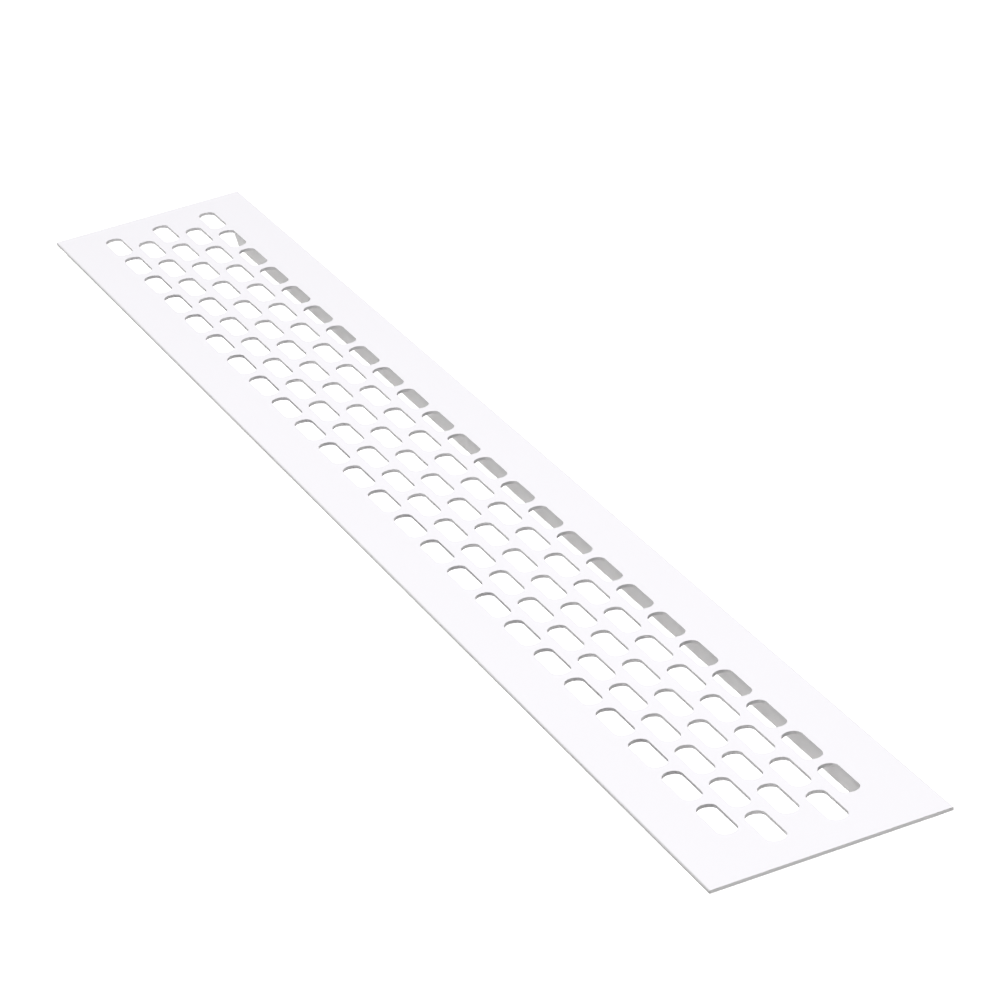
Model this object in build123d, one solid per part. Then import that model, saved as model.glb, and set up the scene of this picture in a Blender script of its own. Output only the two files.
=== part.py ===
from build123d import *
import math
import os

# Furniture vent grille: a coated aluminium profile that is let into a cut-out in a panel.
# It is made as the real one is: a profile is drawn out along X, its legs are trimmed back
# at both ends, and staggered obround slots are punched through its face.
# X runs along the grille, Y across it and Z out of its face. The legs end at Z = 0.

# Face sheet, in millimetres
sheet_length = 480.0
sheet_width = 60.0
sheet_thickness = 0.9

# Slots, in columns that run along the sheet
slot_length = 15.5
slot_width = 5.0
slot_end_flats = 10  # flats that make up each half-round slot end; an even number keeps the length true
slot_bridge = 3.38  # metal left between slots that follow each other in a column
column_bridge = 2.6  # metal left between neighbouring columns
end_margin_min = 9.5  # least metal left past the last slot at either end
rim_width_min = 10.0  # least width of the seat outside each leg

# Legs, which stand in the panel's cut-out
leg_height = 4.3  # below the sheet's underside
leg_thickness = 1.0
leg_setback_start = 31.0  # from the sheet's end at -X to the legs' ends, at the root
leg_setback_end = 20.0  # the same at +X
leg_end_run = 2.6  # how far a leg's end leans back from its root to its foot
leg_lead_in = 0.3  # bevel on the outer edge of a leg's foot

# Slot field: as many whole slots as the sheet takes, centred on it
slot_pitch = slot_length + slot_bridge
column_pitch = slot_width + column_bridge
column_shift = slot_pitch / 2
field_length_max = sheet_length - 2 * end_margin_min
field_width_max = sheet_width - 2 * (rim_width_min + leg_thickness)
slots_per_column = int((field_length_max - column_shift + slot_bridge) / slot_pitch)
column_count = int((field_width_max + column_bridge) / column_pitch)
field_length = slots_per_column * slot_pitch - slot_bridge + column_shift
field_width = column_count * column_pitch - column_bridge

# Levels and places that follow from the sizes above
seat_z = leg_height
face_z = leg_height + sheet_thickness
leg_inner_y = field_width / 2  # flush with the outer slots
leg_outer_y = leg_inner_y + leg_thickness


def leg_section() -> Sketch:
    """Section of the leg on the +Y side, drawn with Y to the right and Z up."""
    return Polygon(
        (leg_inner_y, 0),
        (leg_outer_y - leg_lead_in, 0),
        (leg_outer_y, leg_lead_in),
        (leg_outer_y, seat_z),
        (leg_inner_y, seat_z),
        align=None,
    )


def profile() -> Part:
    """The sheet with its two legs, drawn out over the whole length."""
    sheet = Pos(0, (seat_z + face_z) / 2) * Rectangle(sheet_width, sheet_thickness)
    leg = leg_section()
    section = sheet + leg + mirror(leg, Plane.YZ)
    return extrude(Plane.YZ * section, sheet_length / 2, both=True)


def leg_end_trim(setback: float) -> Part:
    """What is cut off both legs at the +X end, with its slanted inner side."""
    sheet_end_x = sheet_length / 2
    root_x = sheet_end_x - setback
    side = Polygon(
        (root_x, seat_z),
        (root_x - leg_end_run, 0),
        (sheet_end_x, 0),
        (sheet_end_x, seat_z),
        align=None,
    )
    return extrude(Plane.XZ * side, leg_outer_y, both=True)


def slot_centres() -> list[tuple[float, float]]:
    """Centre of each slot; every second column is shifted towards +X."""
    first_x = (slot_length - field_length) / 2
    first_y = (slot_width - field_width) / 2
    centres = []
    for column in range(column_count):
        start_x = first_x + column_shift * (column % 2)
        y = first_y + column * column_pitch
        centres += [(start_x + row * slot_pitch, y) for row in range(slots_per_column)]
    return centres


def slot_outline() -> Sketch:
    """One obround slot along X, its ends half-rounds in small flats to keep the grille light."""
    end_radius = slot_width / 2
    end_centre_x = slot_length / 2 - end_radius
    outline = []
    for side in (1, -1):
        for corner in range(slot_end_flats + 1):
            turn = math.pi * (corner / slot_end_flats - 0.5)
            x = end_centre_x + end_radius * math.cos(turn)
            outline.append((side * x, side * end_radius * math.sin(turn)))
    return Polygon(*outline, align=None)


def slot_punches() -> Part:
    """One punch for each slot, through the sheet."""
    slot = slot_outline()
    slots = Sketch() + [Pos(x, y) * slot for x, y in slot_centres()]
    return extrude(Pos(0, 0, seat_z) * slots, sheet_thickness)


def vent_grille() -> Part:
    """The whole grille, one piece."""
    end_trim = leg_end_trim(leg_setback_end)
    start_trim = mirror(leg_end_trim(leg_setback_start), Plane.YZ)
    return profile() - end_trim - start_trim - slot_punches()


os.makedirs("parts", exist_ok=True)
export_step(vent_grille(), "parts/vent_grille.step")
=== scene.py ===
import logging
import math
from dataclasses import dataclass
from enum import Enum

import bmesh
import bpy
from mathutils import Matrix, Vector


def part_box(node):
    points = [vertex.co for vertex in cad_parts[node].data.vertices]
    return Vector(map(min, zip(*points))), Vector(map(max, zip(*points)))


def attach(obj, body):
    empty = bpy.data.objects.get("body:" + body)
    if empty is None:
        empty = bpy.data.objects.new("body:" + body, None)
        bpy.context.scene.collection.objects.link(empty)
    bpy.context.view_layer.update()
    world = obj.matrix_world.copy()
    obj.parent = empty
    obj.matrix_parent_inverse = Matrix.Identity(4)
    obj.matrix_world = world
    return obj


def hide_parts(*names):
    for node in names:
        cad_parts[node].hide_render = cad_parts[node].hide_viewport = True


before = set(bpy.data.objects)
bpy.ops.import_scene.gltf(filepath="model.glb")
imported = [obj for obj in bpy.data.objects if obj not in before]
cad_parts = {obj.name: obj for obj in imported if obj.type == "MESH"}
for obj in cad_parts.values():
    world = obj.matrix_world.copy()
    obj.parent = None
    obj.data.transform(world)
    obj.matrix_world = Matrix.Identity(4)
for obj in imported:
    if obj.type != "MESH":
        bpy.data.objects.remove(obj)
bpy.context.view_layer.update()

MM = 0.001
CAD_NODE = "vent_grille"
BODY = "root"

# Places of the colour sockets on Blender's Mix node
MIX_SHARE = 0
MIX_FIRST = 6
MIX_SECOND = 7
MIX_RESULT = 2

log = logging.getLogger(CAD_NODE)

Socket = bpy.types.NodeSocket
Feed = Socket | bpy.types.Material | bpy.types.Object | tuple[float, ...] | float | int | bool


class Side(Enum):
    """Side of the centre line, as the sign of its Y."""

    LEFT = -1
    RIGHT = 1


class SheetSide(Enum):
    """Flat side of the sheet, as the comparison that picks its rim by height."""

    FACE = "GREATER_THAN"
    BACK = "LESS_THAN"


class NodeGraph:
    """Adds nodes to a tree, sets what they need and links them."""

    def __init__(self, tree: bpy.types.NodeTree) -> None:
        """Keep the tree that the nodes go into."""
        self.tree = tree

    def add(
        self, kind: str, feeds: dict[str | int, Feed] | None = None, **settings: object
    ) -> bpy.types.Node:
        """Add one node.

        Args:
            kind: Blender's type name of the node.
            feeds: A value, or an output socket to link, for each input by name or index.
            **settings: The node's own properties, such as its operation.

        Returns:
            The new node.
        """
        node = self.tree.nodes.new(kind)
        for name, value in settings.items():
            setattr(node, name, value)
        for key, feed in (feeds or {}).items():
            if isinstance(feed, Socket):
                self.tree.links.new(feed, node.inputs[key])
            else:
                node.inputs[key].default_value = feed
        return node

    def math(self, operation: str, *terms: Feed) -> Socket:
        """Work out one number.

        Args:
            operation: Blender's name of the operation.
            *terms: The numbers or sockets it works on, in order.

        Returns:
            The socket with the result.
        """
        return self.add("ShaderNodeMath", dict(enumerate(terms)), operation=operation).outputs[0]

    def vector(self, x: Feed = 0.0, y: Feed = 0.0, z: Feed = 0.0) -> Socket:
        """Join three numbers into a vector."""
        return self.add("ShaderNodeCombineXYZ", {"X": x, "Y": y, "Z": z}).outputs[0]

    def mix(self, share: Socket, first: Feed, second: Feed) -> Socket:
        """Mix two colours.

        Args:
            share: How much of the second colour there is, from 0 to 1.
            first: The first colour, with its alpha.
            second: The second colour, with its alpha.

        Returns:
            The socket with the mixed colour.
        """
        feeds = {MIX_SHARE: share, MIX_FIRST: first, MIX_SECOND: second}
        return self.add("ShaderNodeMix", feeds, data_type="RGBA").outputs[MIX_RESULT]


def link_object(name: str, mesh: bpy.types.Mesh) -> bpy.types.Object:
    """Put a mesh into the scene.

    Args:
        name: Name of the new object.
        mesh: Its mesh, already in place.

    Returns:
        The new object, at the origin.
    """
    made = bpy.data.objects.new(name, mesh)
    bpy.context.scene.collection.objects.link(made)
    return made


def object_from(shape: bmesh.types.BMesh, name: str, material: bpy.types.Material) -> bpy.types.Object:
    """Turn a mesh under construction into an object, and free it.

    Args:
        shape: The mesh under construction.
        name: Name of the object and its mesh.
        material: What all of it is made of.

    Returns:
        The new object, at the origin.
    """
    mesh = bpy.data.meshes.new(name)
    shape.to_mesh(mesh)
    shape.free()
    mesh.materials.append(material)
    return link_object(name, mesh)


def closed_bar(start: list[Vector], end: list[Vector]) -> bmesh.types.BMesh:
    """Join two rings of corners into a closed bar.

    Args:
        start: Corners of one end, in order round the bar.
        end: Corners of the other end, in the same order.

    Returns:
        The bar under construction, its faces turned outwards.
    """
    shape = bmesh.new()
    rings = [[shape.verts.new(corner) for corner in ring] for ring in (start, end)]
    for ring in rings:
        shape.faces.new(ring)
    for corner in range(len(start)):
        after = (corner + 1) % len(start)
        shape.faces.new((rings[0][corner], rings[0][after], rings[1][after], rings[1][corner]))
    bmesh.ops.recalc_face_normals(shape, faces=shape.faces)
    return shape


def applied_mesh(source: bpy.types.Object) -> bpy.types.Mesh:
    """Turn an object with its modifiers into a plain mesh, and remove the object.

    Args:
        source: The object to evaluate.

    Returns:
        The mesh that its modifiers give.
    """
    graph = bpy.context.evaluated_depsgraph_get()
    mesh = bpy.data.meshes.new_from_object(source.evaluated_get(graph))
    bpy.data.objects.remove(source)
    return mesh


@dataclass(frozen=True)
class Mottle:
    """One noise pattern in a coat."""

    size: float  # width of one patch, in metres
    detail: float  # how many finer patterns ride on it

    def build(self, graph: NodeGraph, place: Socket) -> Socket:
        """Add the pattern to a material.

        Args:
            graph: The material's graph.
            place: Coordinates, in metres.

        Returns:
            The socket with the pattern, from 0 to 1.
        """
        feeds = {"Vector": place, "Scale": 1 / self.size, "Detail": self.detail}
        return graph.add("ShaderNodeTexNoise", feeds).outputs[0]


@dataclass(frozen=True)
class PowderCoat:
    """Satin white powder coat with a fine orange peel, darkened by painted shade along the sheet's long
    edges.
    """

    half_width: float  # of the sheet, in metres
    name: str = "white_powder_coat"
    colour: tuple[float, float, float] = (0.813, 0.80, 0.83)
    shade: tuple[float, float, float] = (0.798, 0.785, 0.815)
    # painted shade: a darker grey over the long edges' rounds and walls, standing in for the shade that falls
    # on them
    painted_edge_shade_colour: tuple[float, float, float] = (0.63, 0.62, 0.637)
    painted_edge_shade_band: tuple[float, float] = (0.45 * MM, 0.1 * MM)  # from the edge: where it starts, where it is full
    roughness: tuple[float, float] = (0.38, 0.5)
    tone: Mottle = Mottle(60 * MM, 2.0)
    grain: Mottle = Mottle(0.5 * MM, 1.0)
    peel: Mottle = Mottle(1.1 * MM, 1.5)
    peel_depth: float = 0.006 * MM

    def material(self) -> bpy.types.Material:
        """Build the material.

        Returns:
            A node material that reads Object coordinates.
        """
        made = bpy.data.materials.new(self.name)
        made.use_nodes = True
        graph = NodeGraph(made.node_tree)
        shader = made.node_tree.nodes["Principled BSDF"]
        place = graph.add("ShaderNodeTexCoord").outputs["Object"]
        tone, grain, peel = (layer.build(graph, place) for layer in (self.tone, self.grain, self.peel))
        full = graph.mix(graph.math("MULTIPLY", tone, grain), (*self.colour, 1.0), (*self.shade, 1.0))
        # painted shade: the coat turns darker grey towards the long edges, where the rounded edge is in shade
        colour = graph.mix(self._painted_edge_shade(graph, place), full, (*self.painted_edge_shade_colour, 1.0))
        smooth, rough = self.roughness
        gloss = graph.add("ShaderNodeMapRange", {"Value": grain, "To Min": smooth, "To Max": rough})
        bump = graph.add("ShaderNodeBump", {"Height": peel, "Distance": self.peel_depth})
        graph.tree.links.new(colour, shader.inputs["Base Color"])
        graph.tree.links.new(gloss.outputs[0], shader.inputs["Roughness"])
        graph.tree.links.new(bump.outputs[0], shader.inputs["Normal"])
        return made

    def _painted_edge_shade(self, graph: NodeGraph, place: Socket) -> Socket:
        """Work out where the painted shade darkens the coat, by the distance from the centre line.

        Args:
            graph: The material's graph.
            place: Coordinates, in metres.

        Returns:
            The socket with 0 on the full coat, rising to 1 at the long edges.
        """
        across = graph.add("ShaderNodeSeparateXYZ", {0: place}).outputs["Y"]
        start, end = (self.half_width - inset for inset in self.painted_edge_shade_band)
        feeds = {"Value": graph.math("ABSOLUTE", across), "From Min": start, "From Max": end}
        return graph.add("ShaderNodeMapRange", feeds, interpolation_type="SMOOTHSTEP").outputs[0]


@dataclass
class SlottedSheet:
    """Face sheet with its slots, made by a node tree. Sizes are in millimetres."""

    length: float
    width: float
    thickness: float
    face_level: float
    slot_length: float = 15.5
    slot_width: float = 5.0
    slot_bridge: float = 3.38
    column_bridge: float = 2.6
    slots_per_column: int = 24
    columns: int = 5
    lip_radius: float = 0.03
    lip_steps: int = 2
    corner_radius: float = 0.3
    corner_steps: int = 6
    end_steps: int = 12
    weld: float = 0.001  # points nearer than this are joined

    @property
    def field_width(self) -> float:
        """Width over the outer columns of slots."""
        return self.columns * (self.slot_width + self.column_bridge) - self.column_bridge

    def inputs(self) -> dict[str, float | int]:
        """Sizes that the node tree takes, by the names of its inputs."""
        slot_pitch = self.slot_length + self.slot_bridge
        return {
            "Length": self.length,
            "Width": self.width,
            "Thickness": self.thickness,
            "Face Level": self.face_level,
            "Slot Length": self.slot_length,
            "Slot Width": self.slot_width,
            "Slot Pitch": slot_pitch,
            "Column Pitch": self.slot_width + self.column_bridge,
            "Column Shift": slot_pitch / 2,
            "Slots per Column": self.slots_per_column,
            "Columns": self.columns,
            "Lip Radius": self.lip_radius,
            "Lip Steps": self.lip_steps,
            "Corner Radius": self.corner_radius,
            "Corner Steps": self.corner_steps,
            "End Steps": self.end_steps,
            "Weld": self.weld,
        }

    def build(self, coat: bpy.types.Material) -> bpy.types.Object:
        """Make the sheet.

        Args:
            coat: Material of the whole sheet.

        Returns:
            An object with a plain closed mesh, in millimetres.
        """
        tree = self._tree()
        carrier = link_object("sheet_nodes", bpy.data.meshes.new("sheet_nodes"))
        modifier = carrier.modifiers.new("slotted_sheet", "NODES")
        modifier.node_group = tree
        values: dict[str, Feed] = {**self.inputs(), "Coat": coat}
        for item in tree.interface.items_tree:
            if item.item_type == "SOCKET" and item.in_out == "INPUT":
                modifier[item.identifier] = values[item.name]
        return link_object("slotted_sheet", applied_mesh(carrier))

    def _tree(self) -> bpy.types.NodeTree:
        """Build the node tree.

        Returns:
            A geometry node tree whose inputs carry the sheet's sizes.
        """
        tree = bpy.data.node_groups.new("slotted_sheet", "GeometryNodeTree")
        for name, value in self.inputs().items():
            kind = "NodeSocketInt" if isinstance(value, int) else "NodeSocketFloat"
            tree.interface.new_socket(name, in_out="INPUT", socket_type=kind)
        tree.interface.new_socket("Coat", in_out="INPUT", socket_type="NodeSocketMaterial")
        tree.interface.new_socket("Sheet", in_out="OUTPUT", socket_type="NodeSocketGeometry")
        graph = NodeGraph(tree)
        size = graph.add("NodeGroupInput").outputs
        lip = self._lip_profile(graph, size)
        slots = self._slot_paths(graph, size)
        walls = graph.add("GeometryNodeCurveToMesh", {"Curve": slots, "Profile Curve": lip})
        turned_walls = graph.add("GeometryNodeFlipFaces", {"Mesh": walls.outputs[0]})
        inward = graph.add("GeometryNodeTransform", {"Geometry": lip, "Scale": (-1.0, 1.0, 1.0)})
        outline = self._outline_path(graph, size)
        edge = graph.add("GeometryNodeCurveToMesh", {"Curve": outline, "Profile Curve": inward.outputs[0]})
        rims = graph.add("GeometryNodeJoinGeometry")
        for strip in (edge, turned_walls):
            tree.links.new(strip.outputs[0], rims.inputs[0])
        back = self._flat(graph, size, rims.outputs[0], SheetSide.BACK)
        face = self._flat(graph, size, rims.outputs[0], SheetSide.FACE)
        skin = graph.add("GeometryNodeJoinGeometry")
        for part in (back, face, rims.outputs[0]):
            tree.links.new(part, skin.inputs[0])
        feeds = {"Geometry": skin.outputs[0], "Distance": size["Weld"]}
        welded = graph.add("GeometryNodeMergeByDistance", feeds)
        feeds = {"Geometry": welded.outputs[0], "Translation": graph.vector(z=size["Face Level"])}
        raised = graph.add("GeometryNodeTransform", feeds)
        real = graph.add("GeometryNodeRealizeInstances", {"Geometry": raised.outputs[0]})
        feeds = {"Geometry": real.outputs[0], "Material": size["Coat"]}
        coated = graph.add("GeometryNodeSetMaterial", feeds)
        graph.add("NodeGroupOutput", {0: coated.outputs[0]})
        return tree

    @staticmethod
    def _lip_profile(graph: NodeGraph, size: bpy.types.NodeOutputs) -> Socket:
        """Section of an edge: a rounded lip at the face, then a straight wall down to the back.

        Args:
            graph: The sheet's graph.
            size: The tree's inputs.

        Returns:
            The socket with an open curve, its X away from the hole and its Y downwards.
        """
        point = graph.add("GeometryNodeInputIndex").outputs[0]
        on_lip = graph.math("MINIMUM", graph.math("DIVIDE", point, size["Lip Steps"]), 1.0)
        turn = graph.math("MULTIPLY", on_lip, math.pi / 2)
        inset = graph.math("SUBTRACT", 1.0, graph.math("SINE", turn))
        drop = graph.math("SUBTRACT", 1.0, graph.math("COSINE", turn))
        x = graph.math("MULTIPLY", inset, size["Lip Radius"])
        lip_y = graph.math("MULTIPLY", drop, size["Lip Radius"])
        at_back = graph.math("GREATER_THAN", point, size["Lip Steps"])
        y = graph.math("MAXIMUM", lip_y, graph.math("MULTIPLY", at_back, size["Thickness"]))
        count = graph.math("ADD", size["Lip Steps"], 2.0)
        points = graph.add("GeometryNodePoints", {"Count": count, "Position": graph.vector(x, y)})
        return graph.add("GeometryNodePointsToCurves", {"Points": points.outputs[0]}).outputs[0]

    @staticmethod
    def _slot_paths(graph: NodeGraph, size: bpy.types.NodeOutputs) -> Socket:
        """Outline of every slot, every second column shifted towards +X.

        Args:
            graph: The sheet's graph.
            size: The tree's inputs.

        Returns:
            The socket with one closed curve for each slot, in the face's plane.
        """
        point = graph.add("GeometryNodeInputIndex").outputs[0]
        half_count = graph.math("ADD", size["End Steps"], 1.0)
        far_end = graph.math("FLOOR", graph.math("DIVIDE", point, half_count))
        corner = graph.math("DIVIDE", graph.math("MODULO", point, half_count), size["End Steps"])
        half_turns = graph.math("SUBTRACT", graph.math("ADD", corner, far_end), 0.5)
        turn = graph.math("MULTIPLY", half_turns, math.pi)
        radius = graph.math("MULTIPLY", size["Slot Width"], 0.5)
        straight = graph.math("SUBTRACT", size["Slot Length"], size["Slot Width"])
        reach = graph.math("MULTIPLY", straight, 0.5)
        side = graph.math("SUBTRACT", 1.0, graph.math("MULTIPLY", far_end, 2.0))
        arc_x = graph.math("MULTIPLY", graph.math("COSINE", turn), radius)
        x = graph.math("ADD", arc_x, graph.math("MULTIPLY", reach, side))
        y = graph.math("MULTIPLY", graph.math("SINE", turn), radius)
        count = graph.math("MULTIPLY", half_count, 2.0)
        points = graph.add("GeometryNodePoints", {"Count": count, "Position": graph.vector(x, y)})
        open_path = graph.add("GeometryNodePointsToCurves", {"Points": points.outputs[0]})
        path = graph.add("GeometryNodeSetSplineCyclic", {"Geometry": open_path.outputs[0], "Cyclic": True})

        slots, columns = size["Slots per Column"], size["Columns"]
        along = graph.math("MULTIPLY", graph.math("SUBTRACT", slots, 1.0), size["Slot Pitch"])
        across = graph.math("MULTIPLY", graph.math("SUBTRACT", columns, 1.0), size["Column Pitch"])
        feeds = {"Size X": along, "Size Y": across, "Vertices X": slots, "Vertices Y": columns}
        grid = graph.add("GeometryNodeMeshGrid", feeds)
        column = graph.math("MODULO", graph.add("GeometryNodeInputIndex").outputs[0], columns)
        odd = graph.math("SUBTRACT", graph.math("MODULO", column, 2.0), 0.5)
        shift = graph.vector(graph.math("MULTIPLY", odd, size["Column Shift"]))
        staggered = graph.add("GeometryNodeSetPosition", {"Geometry": grid.outputs[0], "Offset": shift})
        feeds = {"Points": staggered.outputs[0], "Instance": path.outputs[0]}
        placed = graph.add("GeometryNodeInstanceOnPoints", feeds)
        real = graph.add("GeometryNodeRealizeInstances", {"Geometry": placed.outputs[0]})
        return graph.add("GeometryNodeSetCurveNormal", {"Curve": real.outputs[0]}, mode="Z_UP").outputs[0]

    @staticmethod
    def _outline_path(graph: NodeGraph, size: bpy.types.NodeOutputs) -> Socket:
        """Outline of the sheet, its corners eased as a coat eases them.

        Args:
            graph: The sheet's graph.
            size: The tree's inputs.

        Returns:
            The socket with one closed curve.
        """
        feeds = {"Width": size["Length"], "Height": size["Width"]}
        square = graph.add("GeometryNodeCurvePrimitiveQuadrilateral", feeds)
        feeds = {"Curve": square.outputs[0], "Count": size["Corner Steps"], "Radius": size["Corner Radius"]}
        eased = graph.add("GeometryNodeFilletCurve", feeds, mode="POLY")
        return graph.add("GeometryNodeSetCurveNormal", {"Curve": eased.outputs[0]}, mode="Z_UP").outputs[0]

    @staticmethod
    def _flat(graph: NodeGraph, size: bpy.types.NodeOutputs, rims: Socket, side: SheetSide) -> Socket:
        """Flat face between the rims of one side.

        Args:
            graph: The sheet's graph.
            size: The tree's inputs.
            rims: Edge and slot walls, open above and below.
            side: Which side to fill.

        Returns:
            The socket with the face, at that side's height.
        """
        depth = graph.math("MULTIPLY", size["Thickness"], -1.0)
        middle = graph.math("MULTIPLY", depth, 0.5)
        place = graph.add("GeometryNodeInputPosition").outputs[0]
        height = graph.add("ShaderNodeSeparateXYZ", {0: place}).outputs["Z"]
        on_side = graph.add("FunctionNodeCompare", {0: height, 1: middle}, operation=side.value)
        faces = graph.add("GeometryNodeInputMeshEdgeNeighbors").outputs[0]
        between_one_and_two = 1.5  # an open edge has one face, any other has two
        is_open = graph.add("FunctionNodeCompare", {0: faces, 1: between_one_and_two}, operation="LESS_THAN")
        picked = graph.add("FunctionNodeBooleanMath", {0: on_side.outputs[0], 1: is_open.outputs[0]})
        rim = graph.add("GeometryNodeMeshToCurve", {"Mesh": rims, "Selection": picked.outputs[0]})
        filled = graph.add("GeometryNodeFillCurve", {"Curve": rim.outputs[0]}, mode="TRIANGLES").outputs[0]
        if side is SheetSide.FACE:
            return filled
        turned = graph.add("GeometryNodeFlipFaces", {"Mesh": filled})
        feeds = {"Geometry": turned.outputs[0], "Translation": graph.vector(z=depth)}
        return graph.add("GeometryNodeTransform", feeds).outputs[0]


@dataclass
class Leg:
    """One leg under the sheet, with slanted ends. Sizes are in millimetres."""

    side: Side
    sheet_length: float
    inner_y: float
    height: float
    thickness: float = 1.0
    setback_start: float = 31.0
    setback_end: float = 20.0
    end_run: float = 2.6
    lead_in: float = 0.3
    root_depth: float = 0.45  # how far the leg reaches up into the sheet
    slot_gap: float = 0.02  # from the slots' walls back to the inner face
    edge_radius: float = 0.08
    edge_steps: int = 2

    def section(self) -> list[tuple[float, float]]:
        """Corners of the leg, as Y from the centre line and Z, its root inside the sheet."""
        inner = self.inner_y + self.slot_gap
        outer = self.inner_y + self.thickness
        top = self.height + self.root_depth
        foot = [(inner, 0.0), (outer - self.lead_in, 0.0), (outer, self.lead_in)]
        return [*foot, (outer, top), (inner, top)]

    def ends(self, level: float) -> tuple[float, float]:
        """Where the leg starts and ends along X.

        Args:
            level: Height above the feet.

        Returns:
            The X of both ends at that height.
        """
        lean = self.end_run * (1 - level / self.height)
        start = self.setback_start - self.sheet_length / 2 + lean
        end = self.sheet_length / 2 - self.setback_end - lean
        return start, end

    def build(self, coat: bpy.types.Material) -> bpy.types.Object:
        """Make the leg.

        Args:
            coat: Its material.

        Returns:
            An object with a closed mesh, in millimetres.
        """
        rings: tuple[list[Vector], list[Vector]] = ([], [])
        for y, z in self.section():
            for ring, x in zip(rings, self.ends(z)):
                ring.append(Vector((x, self.side.value * y, z)))
        shape = closed_bar(*rings)
        exposed = [edge for edge in shape.edges if min(vert.co.z for vert in edge.verts) < self.height]
        bmesh.ops.bevel(shape, geom=exposed, offset=self.edge_radius, segments=self.edge_steps,
                        affect="EDGES", profile=0.5, clamp_overlap=True)
        return object_from(shape, f"leg_{self.side.name.lower()}", coat)


@dataclass
class RoundedEdge:
    """Rounding along one long edge of the face. Sizes are in millimetres."""

    side: Side
    sheet_length: float
    edge_y: float
    face_level: float
    radius: float = 0.3
    steps: int = 2
    overcut: float = 0.5  # how far the cut runs out past the sheet

    def section(self) -> list[tuple[float, float]]:
        """Corners of what is cut off, as Y from the centre line and Z: down the round, then outside it."""
        turns = [math.pi / 2 * step / self.steps for step in range(self.steps + 1)]
        low = self.face_level - self.radius
        inner = self.edge_y - self.radius
        outer = self.edge_y + self.overcut
        top = self.face_level + self.overcut
        arc = [(inner + self.radius * math.sin(turn), low + self.radius * math.cos(turn)) for turn in turns]
        return [*arc, (outer, low), (outer, top), (inner, top)]

    def cutter(self, coat: bpy.types.Material) -> bpy.types.Object:
        """Make the bar that cuts the rounding.

        Args:
            coat: Material that the cut leaves.

        Returns:
            An object with a closed mesh, in millimetres.
        """
        reach = self.sheet_length / 2 + self.overcut
        rings = [[Vector((x, self.side.value * y, z)) for y, z in self.section()] for x in (-reach, reach)]
        return object_from(closed_bar(*rings), f"round_{self.side.name.lower()}", coat)


@dataclass
class VentGrille:
    """The whole grille: sheet and legs in one piece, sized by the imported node."""

    low: Vector
    high: Vector
    sheet_thickness: float = 0.9
    smooth_below: float = math.radians(20)

    def build(self, finish: PowderCoat) -> bpy.types.Object:
        """Make and dress the grille.

        Args:
            finish: The coat on every surface.

        Returns:
            The finished piece, in metres, in the part's frame.
        """
        coat = finish.material()
        length, width, face_level = (self.high - self.low) / MM
        sheet = SlottedSheet(length, width, self.sheet_thickness, face_level)
        body = sheet.build(coat)
        seat_level = face_level - self.sheet_thickness
        tools: dict[bpy.types.Object, str] = {}
        for side in Side:
            tools[Leg(side, length, sheet.field_width / 2, seat_level).build(coat)] = "UNION"
            tools[RoundedEdge(side, length, width / 2, face_level).cutter(coat)] = "DIFFERENCE"
        for tool, operation in tools.items():
            step = body.modifiers.new(tool.name, "BOOLEAN")
            step.operation = operation
            step.solver = "MANIFOLD"
            step.object = tool
        mesh = applied_mesh(body)
        for tool in tools:
            bpy.data.objects.remove(tool)
        mesh.transform(Matrix.Scale(MM, 4))
        mesh.polygons.foreach_set("use_smooth", [True] * len(mesh.polygons))
        mesh.set_sharp_from_angle(angle=self.smooth_below)
        mesh.name = "grille_body"
        piece = link_object("grille_body", mesh)
        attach(piece, BODY)
        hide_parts(CAD_NODE)
        return piece


@dataclass(frozen=True)
class MattWhite:
    """Matt white of the studio's ground, which may glow as a light table does."""

    name: str
    colour: tuple[float, float, float] = (0.8, 0.8, 0.8)
    glow: float = 0.0

    def material(self) -> bpy.types.Material:
        """Build the material, with every value set on the shader itself."""
        made = bpy.data.materials.new(self.name)
        made.use_nodes = True
        shader = made.node_tree.nodes["Principled BSDF"]
        shader.inputs["Base Color"].default_value = (*self.colour, 1.0)
        shader.inputs["Specular IOR Level"].default_value = 0.0
        shader.inputs["Roughness"].default_value = 1.0
        shader.inputs["Emission Color"].default_value = (1.0, 1.0, 1.0, 1.0)
        shader.inputs["Emission Strength"].default_value = self.glow
        return made


@dataclass(frozen=True)
class SoftBox:
    """Square area light that is aimed at the grille. Lengths are in metres."""

    name: str
    place: tuple[float, float, float]
    size: float
    power: float

    def build(self) -> None:
        """Hang the light."""
        light = bpy.data.lights.new(self.name, "AREA")
        light.size = self.size
        light.energy = self.power
        lamp = bpy.data.objects.new(self.name, light)
        lamp.location = self.place
        lamp.rotation_euler = Vector(self.place).to_track_quat("Z", "Y").to_euler()
        bpy.context.scene.collection.objects.link(lamp)


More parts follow.
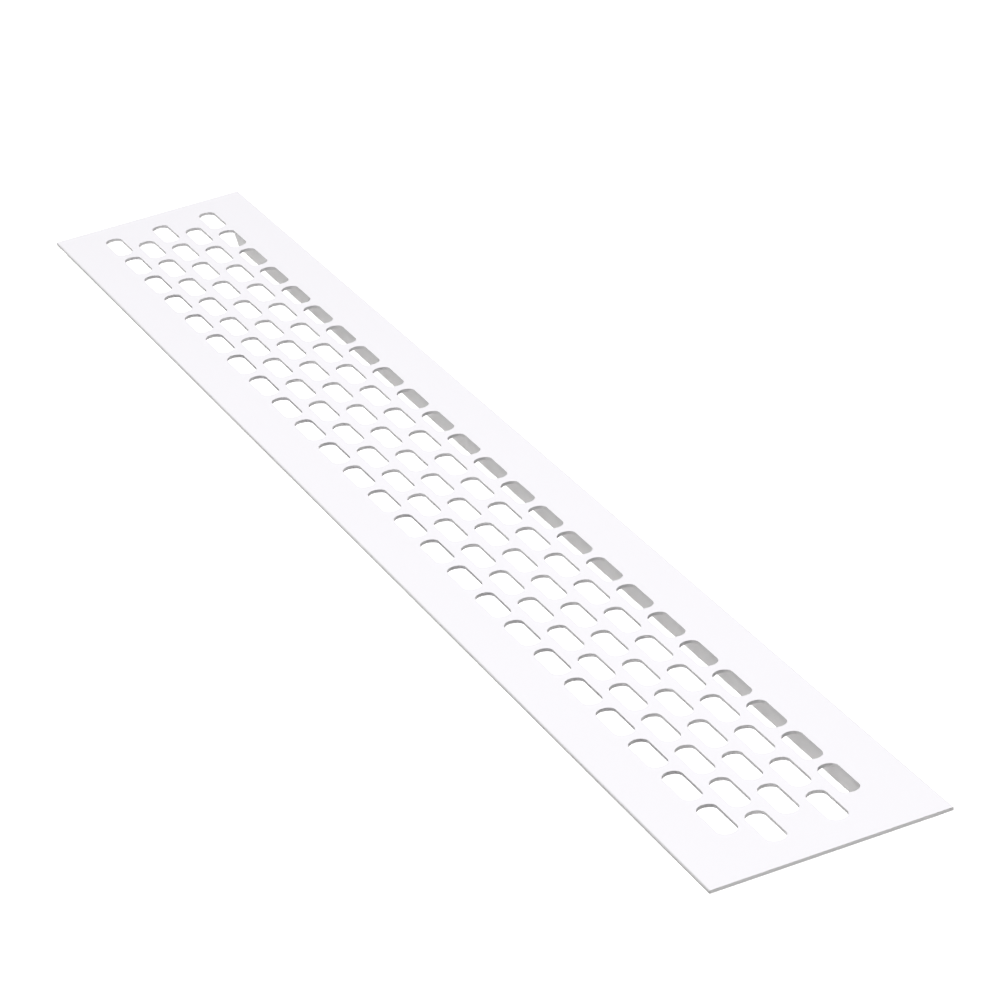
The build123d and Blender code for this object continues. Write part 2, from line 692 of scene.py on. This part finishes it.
@dataclass
class Studio:
    """Pale ground that curves up into a wall, soft lights and an even surround. Lengths are in metres."""

    ground_radius: float = 5.0
    cove_radius: float = 1.5
    wall_height: float = 4.0
    cove_steps: int = 12
    turn_steps: int = 96
    ground_glow: float = 1.0
    board_colour: tuple[float, float, float] = (0.8, 0.8, 0.765)
    board_drop: float = 0.025  # from the ground down to the bounce board
    sky: tuple[float, float, float] = (0.08, 0.08, 0.08)
    key: SoftBox = SoftBox("key_light", (0.0, 0.0, 2.5), 1.0, 74.5)
    fill: SoftBox = SoftBox("fill_light", (0.0, -1.6, 1.6), 1.0, 4.1)

    def build(self) -> None:
        """Make the ground, the board, the surround and the lights."""
        self._shown_ground()
        self._bounce_board()
        self._surround()
        for light in (self.key, self.fill):
            light.build()
        bpy.context.scene.view_settings.view_transform = "Standard"

    def _turned(self, outline: list[tuple[float, float]], name: str, finish: MattWhite) -> bpy.types.Object:
        """Turn an outline about Z into a round stage piece with a flat middle.

        Args:
            outline: Radius and height of each ring, from the middle outwards.
            name: Name of the piece.
            finish: What it is made of.

        Returns:
            The piece.
        """
        turns = [math.tau * step / self.turn_steps for step in range(self.turn_steps)]
        shape = bmesh.new()
        rings = []
        for radius, height in outline:
            places = [(radius * math.cos(turn), radius * math.sin(turn), height) for turn in turns]
            rings.append([shape.verts.new(place) for place in places])
        shape.faces.new(rings[0])
        for inner, outer in zip(rings, rings[1:]):
            for step in range(self.turn_steps):
                after = (step + 1) % self.turn_steps
                shape.faces.new((inner[step], outer[step], outer[after], inner[after])).smooth = True
        piece = object_from(shape, name, finish.material())
        return piece

    def _shown_ground(self) -> None:
        """Make the ground that is seen, white under the slots too, with its wall all round."""
        outline = [(self.ground_radius, 0.0)]
        for step in range(1, self.cove_steps + 1):
            turn = math.pi / 2 * step / self.cove_steps
            outline.append((self.ground_radius + self.cove_radius * math.sin(turn),
                            self.cove_radius * (1 - math.cos(turn))))
        outline.append((self.ground_radius + self.cove_radius, self.wall_height))
        ground = self._turned(outline, "studio_ground", MattWhite("glowing_ground", glow=self.ground_glow))
        ground.visible_diffuse = False
        ground.visible_glossy = False
        ground.visible_shadow = False

    def _bounce_board(self) -> None:
        """Make the unseen board below the ground that throws soft light back up."""
        outline = [(self.ground_radius, -self.board_drop)]
        board = self._turned(outline, "bounce_board", MattWhite("bounce_board", self.board_colour))
        board.visible_camera = False

    def _surround(self) -> None:
        """Set the even light from all round."""
        world = bpy.data.worlds.new("studio")
        world.use_nodes = True
        world.node_tree.nodes["Background"].inputs["Color"].default_value = (*self.sky, 1.0)
        bpy.context.scene.world = world


@dataclass
class PhotoCamera:
    """Camera at the photograph's angle. Angles are in degrees, lengths in metres."""

    aim: tuple[float, float, float] = (0.02484, 0.00963, 0.0051)
    azimuth: float = 71.39
    elevation: float = 24.81
    roll: float = 9.22
    distance: float = 1.1794
    lens_mm: float = 163.35
    sensor_mm: float = 36.0

    def build(self) -> bpy.types.Object:
        """Place the camera.

        Returns:
            The scene's camera.
        """
        azimuth = math.radians(self.azimuth)
        elevation = math.radians(self.elevation)
        level = math.cos(elevation)
        back = Vector((math.sin(azimuth) * level, -math.cos(azimuth) * level, math.sin(elevation)))
        lens = bpy.data.cameras.new("photo_camera")
        lens.lens = self.lens_mm
        lens.sensor_width = self.sensor_mm
        camera = bpy.data.objects.new("photo_camera", lens)
        turn = back.to_track_quat("Z", "Y").to_matrix().to_4x4()
        tilt = Matrix.Rotation(math.radians(-self.roll), 4, "Z")
        camera.matrix_world = Matrix.Translation(Vector(self.aim) + back * self.distance) @ turn @ tilt
        bpy.context.scene.collection.objects.link(camera)
        bpy.context.scene.camera = camera
        return camera


def main() -> None:
    """Build the grille, the studio and the camera, in that order."""
    logging.basicConfig(level=logging.INFO, format="%(name)s: %(message)s")
    low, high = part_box(CAD_NODE)
    piece = VentGrille(low, high).build(PowderCoat(half_width=high.y))
    log.info("%s has %d faces", piece.name, len(piece.data.polygons))
    Studio().build()
    log.info("ground, surround and light are in place")
    camera = PhotoCamera().build()
    log.info("%s looks through %.1f mm", camera.name, camera.data.lens)


if __name__ == "__main__":
    main()
